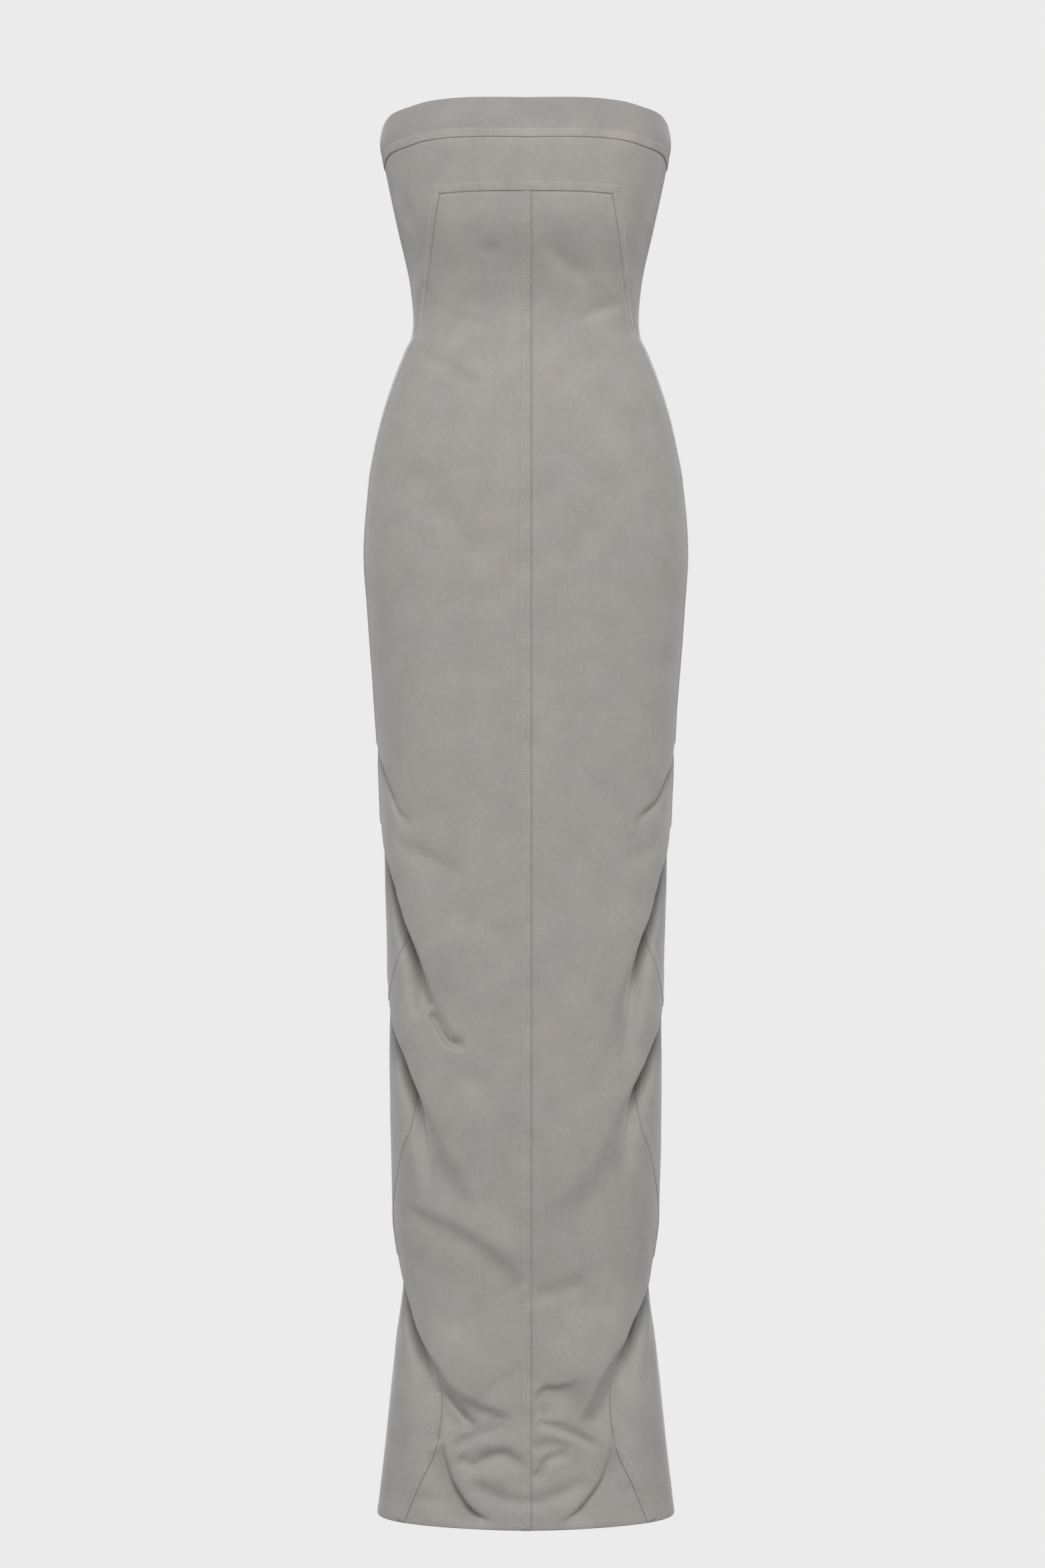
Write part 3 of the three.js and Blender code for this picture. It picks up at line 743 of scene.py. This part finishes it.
# %% Thread
thread_looks = {"Base_Color": (0.45, 0.435, 0.415, 1), "Roughness": 0.7, "Sheen_Weight": 0.2}
thread = new_material("sewing thread", **thread_looks)[0]
print("material:", thread.name)

# %% [markdown]
# ## Cut panels
#
# A panel could be sculpted, or simulated from its flat cut. Here it starts as a flat grid,
# as cloth does, and each point is laid on the surface. The grid is finer beside the seams,
# where the cloth turns in. A Solidify modifier gives the cloth its thickness inwards.

# %% The lines and spacing of the grids
CELL = 2.6  # millimetres from one grid line to the next
BACK_CELL = 4.5  # the back is plainer than the front
BESIDE_SEAM = np.array([0.0, 0.3, 0.7, 1.3])  # distances of the closer lines beside a seam
LINES = {
    "back left": lambda z: np.full_like(z, -180.0),
    "side left": lambda z: np.full_like(z, -float(SIDE_SEAM)),
    "front left": lambda z: -front_seam_at(np.minimum(z, BIB)),
    "centre": lambda z: np.degrees(np.arcsin(CENTRE_SEAM_X / width_at(z))),
    "front right": lambda z: front_seam_at(np.minimum(z, BIB)),
    "side right": lambda z: np.full_like(z, float(SIDE_SEAM)),
    "back right": lambda z: np.full_like(z, 180.0),
}


def spaced(length, cell):
    """Places from 0 to 1 along a stretch, closer together beside its two seams."""
    edge = BESIDE_SEAM[-1]
    count = max(int(round((length - 2 * edge) / cell)), 1)
    middle = np.linspace(edge, length - edge, count + 1)
    return np.concatenate([BESIDE_SEAM[:-1], middle, length - BESIDE_SEAM[-2::-1]]) / length


def stretches(stops, cell, length_of):
    """Places over several stretches in turn: stretch number plus a fraction."""
    parts = [spaced(length_of(a, b), cell) + k for k, (a, b) in enumerate(zip(stops, stops[1:]))]
    return np.concatenate([parts[0], *[part[1:] for part in parts[1:]]])


print("lines:", ", ".join(LINES))

# %% [markdown]
# The grid comes from a bmesh operator as a flat square from -1 to 1. Its points could be moved
# one by one. They are counted off into columns and rows instead, so that a whole piece is put
# in place with one array.

# %% A flat grid, and cloth from it
def square_of_cloth(name, across, down, cut=None, turned_over=False):
    """A flat grid, and the column and row of its vertices; `cut` picks faces to leave out."""
    bm = bmesh.new()
    bmesh.ops.create_grid(bm, x_segments=across, y_segments=down, size=1)
    if turned_over:
        bmesh.ops.reverse_faces(bm, faces=bm.faces)
    if cut:
        bmesh.ops.delete(bm, geom=[face for face in bm.faces if cut(face)], context="FACES")
    mesh = bpy.data.meshes.new(name)
    bm.to_mesh(mesh)
    bm.free()
    flat = np.empty(len(mesh.vertices) * 3)
    mesh.vertices.foreach_get("co", flat)
    flat = flat.reshape(-1, 3)
    column = np.rint((flat[:, 0] + 1) / 2 * across).astype(int)
    row = np.rint((1 - flat[:, 1]) / 2 * down).astype(int)
    return mesh, column, row


def set_flat_map(mesh, u, v):
    """A UV map that holds each point's place on the flat cloth, in metres."""
    corner = np.empty(len(mesh.loops), int)
    mesh.loops.foreach_get("vertex_index", corner)
    layer = mesh.uv_layers.new(name="flat cloth")
    layer.uv.foreach_set("vector", np.stack([u[corner], v[corner]], 1).ravel() * MM)


def finish_cloth(mesh, node, places, u, v, material, thickness):
    """Puts the points in place, and makes the mesh the cloth of one of the frame's pieces."""
    mesh.vertices.foreach_set("co", places.ravel())
    set_flat_map(mesh, u, v)
    mesh.materials.append(material)
    mesh.shade_smooth()
    mesh.update()
    piece = bpy.data.objects.new(node + "_cloth", mesh)
    bpy.context.scene.collection.objects.link(piece)
    wall = piece.modifiers.new("thickness", "SOLIDIFY")
    wall.thickness = thickness * MM
    wall.offset = -1
    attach(piece, "dress")
    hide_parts(node)
    print(piece.name, len(mesh.polygons), "faces")


example, column, row = square_of_cloth("example", 4, 3)
print("a grid of", column.max(), "by", row.max(), "has", len(example.polygons), "faces")
bpy.data.meshes.remove(example)

# %% [markdown]
# The front panels are cut between the side seams, the side-front seams and the centre seam.
# The yoke runs from side to side with a window in it, where the centre panels are set in.

# %% The panels
def rolled_edge(level):
    """The folded top edge and the turned hem draw in, and so does the cloth at the band seam."""
    to_top, to_hem = TOP - level, level - HEM
    return -0.6 * bell(to_top, 0.8) - 0.5 * bell(to_hem, 0.7) - 0.35 * bell(level - BAND, 0.6)


def panel(node, across, down, cell=CELL, window=None, thickness=CLOTH, material=twill):
    """One cut panel between named lines across and levels down, with a window left out."""
    middle = np.array([(down[0] + down[-1]) / 2])
    wide = lambda a, b: float(LINES[b](middle)[0] - LINES[a](middle)[0]) * ARC
    columns = stretches(across, cell, wide)
    rows = stretches(down, cell, lambda a, b: a - b)
    cells_across, cells_down = len(columns) - 1, len(rows) - 1

    def in_window(face):
        middle = face.calc_center_median()
        column = columns[int((middle.x + 1) / 2 * cells_across)]
        row = rows[int((1 - middle.y) / 2 * cells_down)]
        return (int(column), int(row)) == window

    cut = in_window if window else None
    mesh, i, j = square_of_cloth(node + "_cloth", cells_across, cells_down, cut)
    k = np.minimum(rows[j].astype(int), len(down) - 2)
    level = np.interp(rows[j], np.arange(len(down)), down)
    edges = np.stack([LINES[line](level) for line in across], 1)
    m = np.minimum(columns[i].astype(int), len(across) - 2)
    index = np.arange(len(i))
    angle = edges[index, m] + (edges[index, m + 1] - edges[index, m]) * (columns[i] - m)
    z = worn_height(angle, level)
    places = cloth(angle, z, rolled_edge(level))
    finish_cloth(mesh, node, places, angle * ARC, z, material, thickness)


ROUND_THE_FRONT = ("side left", "front left", "front right", "side right")
DOUBLED = 2.2  # thickness of the band, which is folded over at the top edge
for node, across in {
    "band_front": ("side left", "side right"),
    "band_back_left": ("back left", "side left"),
    "band_back_right": ("side right", "back right"),
}.items():
    panel(node, across, (TOP, BAND), thickness=DOUBLED, material=band_twill_painted_shade)
panel("front_yoke", ROUND_THE_FRONT, (BAND, BIB, HEM), window=(1, 1))
panel("centre_front_left", ("front left", "centre"), (BIB, HEM))
panel("centre_front_right", ("centre", "front right"), (BIB, HEM))
panel("back_left", ("back left", "side left"), (BAND, HEM), cell=BACK_CELL)
panel("back_right", ("side right", "back right"), (BAND, HEM), cell=BACK_CELL)

# %% [markdown]
# ## Felled seams and stitches
#
# In a felled seam one edge is folded over the other and stitched down, so the seam is a flat
# strip of doubled cloth with a row of stitches along it. Each strip is a narrow grid whose
# cross section is raised and rounded at the fold, and runs out under the stitches.

# %% Seam paths
def along_path(points, step):
    """Evenly spaced places on a flat path, with the unit normal to its left."""
    length = np.concatenate([[0], np.cumsum(np.hypot(*np.diff(points, axis=0).T))])
    count = max(int(round(length[-1] / step)), 1)
    at = np.linspace(0, length[-1], count + 1)
    even = np.stack([np.interp(at, length, points[:, 0]), np.interp(at, length, points[:, 1])], 1)
    ahead = np.gradient(even, axis=0)
    ahead /= np.hypot(*ahead.T)[:, None]
    return even, np.stack([-ahead[:, 1], ahead[:, 0]], 1)


def front_seam_path(side):
    """The side-front seam from the bib's corner to the hem, in flat millimetres."""
    z = np.linspace(BIB, HEM, 1300)
    return np.stack([side * front_seam_at(z) * ARC, z], 1)


def centre_seam_path():
    """The centre-front seam from the bib to the hem."""
    z = np.linspace(BIB, HEM, 650)
    return np.stack([LINES["centre"](z) * ARC, z], 1)


def level_path(level, start, end):
    """A level line round the dress, between two angles."""
    angle = np.linspace(start, end, 400)
    return np.stack([angle * ARC, worn_height(angle, level)], 1)


left_seam, right_seam = front_seam_path(-1), front_seam_path(1)
bib_corner = float(front_seam_at(BIB)) + FELL_WIDTH / ARC
bib_path = level_path(BIB, -bib_corner, bib_corner)
band_path = level_path(BAND, -179.9, 179.9)
hem_path = level_path(HEM, -180, 180)
print("the bib is", round(2 * bib_corner * ARC), "mm wide along the cloth")

# %% [markdown]
# The strip's cross section starts in the seam, rises over the rounded fold and ends just past
# the stitches. Along its length it puckers a little, again and again, as a sewn fold does.

# %% Felled strips
FELL_PROFILE = table("away height", """
    0.00  -0.30
    0.15   0.30
    0.45   0.62
    1.20   0.70
    3.00   0.66
    5.20   0.66
    6.40   0.60
    7.10   0.40
    7.80   0.42
    8.60   0.22
    9.60  -0.25
""")
profile_at = curve_of(FELL_PROFILE, "away", "height")
STRIP_WALL = 0.6
PUCKER, PUCKER_LENGTH = 0.10, 13  # height and length of one pucker
PUCKER_DRIFT = 31  # over this length the puckers come closer together and further apart
STEP_UP = 0.4  # how far a strip lifts where it runs over the end of another one


def felled_strip(node, path, side, over=None):
    """A strip of doubled cloth beside a seam; side is 1 for the left of its path, -1 for the right.

    Where it runs over another strip's end, between the two flat places in `over`, it is lifted.
    """
    away = FELL_PROFILE["away"]
    even, normal = along_path(path, CELL)
    mesh, i, j = square_of_cloth(node + "_cloth", len(away) - 1, len(even) - 1, turned_over=side < 0)
    u, z = (even[j] + normal[j] * (side * away[i])[:, None]).T
    drift = 1.7 * np.sin(j * CELL / PUCKER_DRIFT)
    pucker = PUCKER * np.sin(2 * np.pi * j * CELL / PUCKER_LENGTH + drift)
    raised = profile_at(away[i]) + pucker * bell(away[i] - 4, 3)
    if over:
        start, end = over
        lifted = smoothstep(u, start - 1, start + 1) - smoothstep(u, end - 1, end + 1)
        raised += STEP_UP * lifted * (away[i] < 9)
    places = cloth(u / ARC, z, raised, grooved=False)
    finish_cloth(mesh, node, places, u, z, worn_twill, STRIP_WALL)


felled_strip("felled_seam_side_left", left_seam, -1)
felled_strip("felled_seam_side_right", right_seam, 1)
felled_strip("felled_seam_centre", centre_seam_path(), -1)
centre_end = float(LINES["centre"](np.array([BIB]))[0]) * ARC
felled_strip("felled_seam_bib", bib_path, 1, over=(centre_end - FELL_WIDTH, centre_end))
felled_strip("felled_seam_band", band_path, 1)

# %% [markdown]
# A stitch could be painted on, but a real one is a short bar of thread that catches the light.
# Here it is a small ball, stretched along the seam and sunk halfway in the cloth. Thousands of
# them are made in short runs, because adding to a mesh gets slower as it grows.

# %% Many small bars in one piece
RUN = 24  # bars that are made together


def bar_at(place, ahead, above):
    """The turn of a bar that lies along `ahead`, with its back towards the place `above`."""
    ahead = Vector(ahead).normalized()
    out = Vector(above - place)
    out = (out - ahead * out.dot(ahead)).normalized()
    turn = Matrix((ahead, out.cross(ahead), out)).transposed().to_4x4()
    return Matrix.Translation(place) @ turn


def small_bars(name, turns, size, material):
    """One piece made of many small rounded bars, each a low ball stretched and turned into place."""
    stretch = Matrix.Diagonal((*(Vector(size) * MM), 1))
    whole = bmesh.new()
    run = bpy.data.meshes.new("run")
    for start in range(0, len(turns), RUN):
        bm = bmesh.new()
        for turn in turns[start : start + RUN]:
            bmesh.ops.create_uvsphere(bm, u_segments=6, v_segments=4, radius=1, matrix=turn @ stretch)
        bm.to_mesh(run)
        bm.free()
        whole.from_mesh(run)
    bpy.data.meshes.remove(run)
    mesh = bpy.data.meshes.new(name)
    whole.to_mesh(mesh)
    whole.free()
    mesh.materials.append(material)
    mesh.shade_smooth()
    piece = bpy.data.objects.new(name, mesh)
    bpy.context.scene.collection.objects.link(piece)
    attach(piece, "dress")
    print(name, len(turns), "bars")


print("bars are made in runs of", RUN)

# %% [markdown]
# Every felled seam has its row of stitches close to the strip's far edge. The band seam has a
# second row close to its fold, and the hem has a plain one. Each row follows the same path as
# its seam, a few millimetres beside it.

# %% Stitches
STITCH_SIZE = (1.2, 0.38, 0.32)  # half the length, width and height


def stitch_row(name, path, side, away, raised):
    """Stitches along a path: `away` from it on one side, `raised` above the plain cloth."""
    even, normal = along_path(path, STITCH)
    u, z = (even + normal * (side * away)).T
    centre = cloth(u / ARC, z, raised, grooved=False)
    lift = cloth(u / ARC, z, raised + 1, grooved=False)
    turns = []
    for before, place, after, up in zip(centre, centre[1:], centre[2:], lift[1:]):
        turns.append(bar_at(place, after - before, up))
    small_bars("stitches_" + name, turns, STITCH_SIZE, thread)


stitch_row("side_left", left_seam, -1, away=7.2, raised=0.45)
stitch_row("side_right", right_seam, 1, away=7.2, raised=0.45)
stitch_row("centre", centre_seam_path(), -1, away=7.2, raised=0.45)
stitch_row("bib", bib_path, 1, away=7.2, raised=0.45)
stitch_row("band_upper", band_path, 1, away=7.4, raised=0.45)
stitch_row("band_lower", band_path, 1, away=1.6, raised=0.72)
stitch_row("hem", hem_path, 1, away=6.0, raised=0.02)

# %% [markdown]
# ## Zip
#
# A concealed zip has its coil on the inside, so from outside only the slider and pull show.
# The woven tape is one narrow grid laid behind the back seam, with the panels' own twill
# material in a finer weave.

# %% Zip tape
ZIP_TOP, ZIP_END = 3, -290
TAPE_ACROSS = np.array([-12, -11.4, -8, -4, -1.5, 0, 1.5, 4, 8, 11.4, 12])
TAPE_WALL = 0.6
TAPE_DEPTH = CLOTH + 0.4  # below the outside of the back panels
TAPE_GREYS = (0.300, 0.290, 0.277), (0.285, 0.280, 0.266)
TAPE_RIBS = 420
tape_twill = cloth_material("zip tape", *TAPE_GREYS, TAPE_RIBS, contrast=0.6)


def tape_face(z):
    """How far out the tape's outer face lies, behind the single cloth and the doubled band."""
    return -TAPE_DEPTH - (DOUBLED - CLOTH) * smoothstep(z, BAND - 6, BAND)


zip_path = np.stack([np.full(300, 180 * ARC), np.linspace(ZIP_TOP, ZIP_END, 300)], 1)
even, normal = along_path(zip_path, 4)
mesh, i, j = square_of_cloth("zip_tape_cloth", len(TAPE_ACROSS) - 1, len(even) - 1)
u, z = (even[j] + normal[j] * TAPE_ACROSS[i][:, None]).T
places = cloth(u / ARC, z, tape_face(z), grooved=False)
finish_cloth(mesh, "zip_tape", places, u, z, tape_twill, TAPE_WALL)

# %% [markdown]
# The coil lies on the inside of the tape. It could be one long spiral curve, but closed it
# shows only as turns that come from the left and from the right by halves, so each turn is
# one small bar. A row of stitches holds each tape.

# %% Coil and its stitches
COIL_PITCH = 1.5
COIL_SIZE = (1.1, 0.42, 0.40)  # half the length, width and height of a turn
COIL_AWAY = 0.8  # from the centre-back seam to the middle of a turn
nylon_looks = {"Base_Color": (0.25, 0.245, 0.235, 1)}
nylon, nylon_tree, nylon_shader = new_material("nylon coil", **nylon_looks)
nylon_place = add(nylon_tree, "ShaderNodeTexCoord").outputs["Object"]
gloss = noise(nylon_tree, nylon_place, scale=700, detail=2)
nylon_tree.links.new(shift(nylon_tree, gloss, 0.35, 0.5), nylon_shader.inputs["Roughness"])
turns = []
for side in (-1, 1):
    z = np.arange(ZIP_TOP - 2 - side * COIL_PITCH / 4, ZIP_END + 4, -COIL_PITCH)
    u = np.full_like(z, 180 * ARC + side * COIL_AWAY)
    depth = tape_face(z) - TAPE_WALL - COIL_SIZE[2]
    centre = cloth(u / ARC, z, depth, grooved=False)
    beside_it = cloth((u + 1) / ARC, z, depth, grooved=False)
    above_it = cloth(u / ARC, z, depth + 1, grooved=False)
    for place, across, up in zip(centre, beside_it, above_it):
        turns.append(bar_at(place, across - place, up))
small_bars("zip_coil", turns, COIL_SIZE, nylon)
INSIDE_TAPE = -TAPE_DEPTH - TAPE_WALL - 0.05
for side, name in ((-1, "zip_left"), (1, "zip_right")):
    stitch_row(name, zip_path[25:-5], side, away=9, raised=INSIDE_TAPE)

# %% [markdown]
# The slider and the pull already have their true shape, so they only need satin nickel. Its
# roughness varies a little, as on metal that fingers have worn.

# %% Slider and pull
nickel_looks = {"Base_Color": (0.45, 0.45, 0.46, 1), "Metallic": 1}
nickel, nickel_tree, nickel_shader = new_material("satin nickel", **nickel_looks)
nickel_place = add(nickel_tree, "ShaderNodeTexCoord").outputs["Object"]
wear = noise(nickel_tree, nickel_place, scale=500, detail=3)
nickel_tree.links.new(shift(nickel_tree, wear, 0.28, 0.42), nickel_shader.inputs["Roughness"])
for node in ("zip_slider", "zip_pull"):
    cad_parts[node].data.materials.clear()
    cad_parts[node].data.materials.append(nickel)
print("slider and pull in", nickel.name)

# %% [markdown]
# ## The flat cut
#
# Each panel was cut flat before it was sewn. The table gives the width and length of the part
# that shows, in millimetres, and its area in square metres where the cut isn't a rectangle.
# Seam allowances come on top of it.

# %% Size of each cut piece
CUTS = {
    "band_front": (445, 41, 0.0181),
    "band_back_left": (190, 41, 0.0077),
    "band_back_right": (190, 41, 0.0077),
    "front_yoke": (447, 1352, 0.1827),
    "centre_front_left": (228, 1300, 0.2263),
    "centre_front_right": (212, 1300, 0.2114),
    "back_left": (291, 1340, 0.2516),
    "back_right": (291, 1340, 0.2516),
    "felled_seam_side_left": (10, 1440, None),
    "felled_seam_side_right": (10, 1440, None),
    "felled_seam_centre": (10, 1300, None),
    "felled_seam_bib": (200, 10, None),
    "felled_seam_band": (844, 10, None),
    "zip_tape": (24, 293, None),
}
shaped = sum(area for wide, long, area in CUTS.values() if area)
print("shaped panels:", round(shaped, 3), "square metres of cloth")
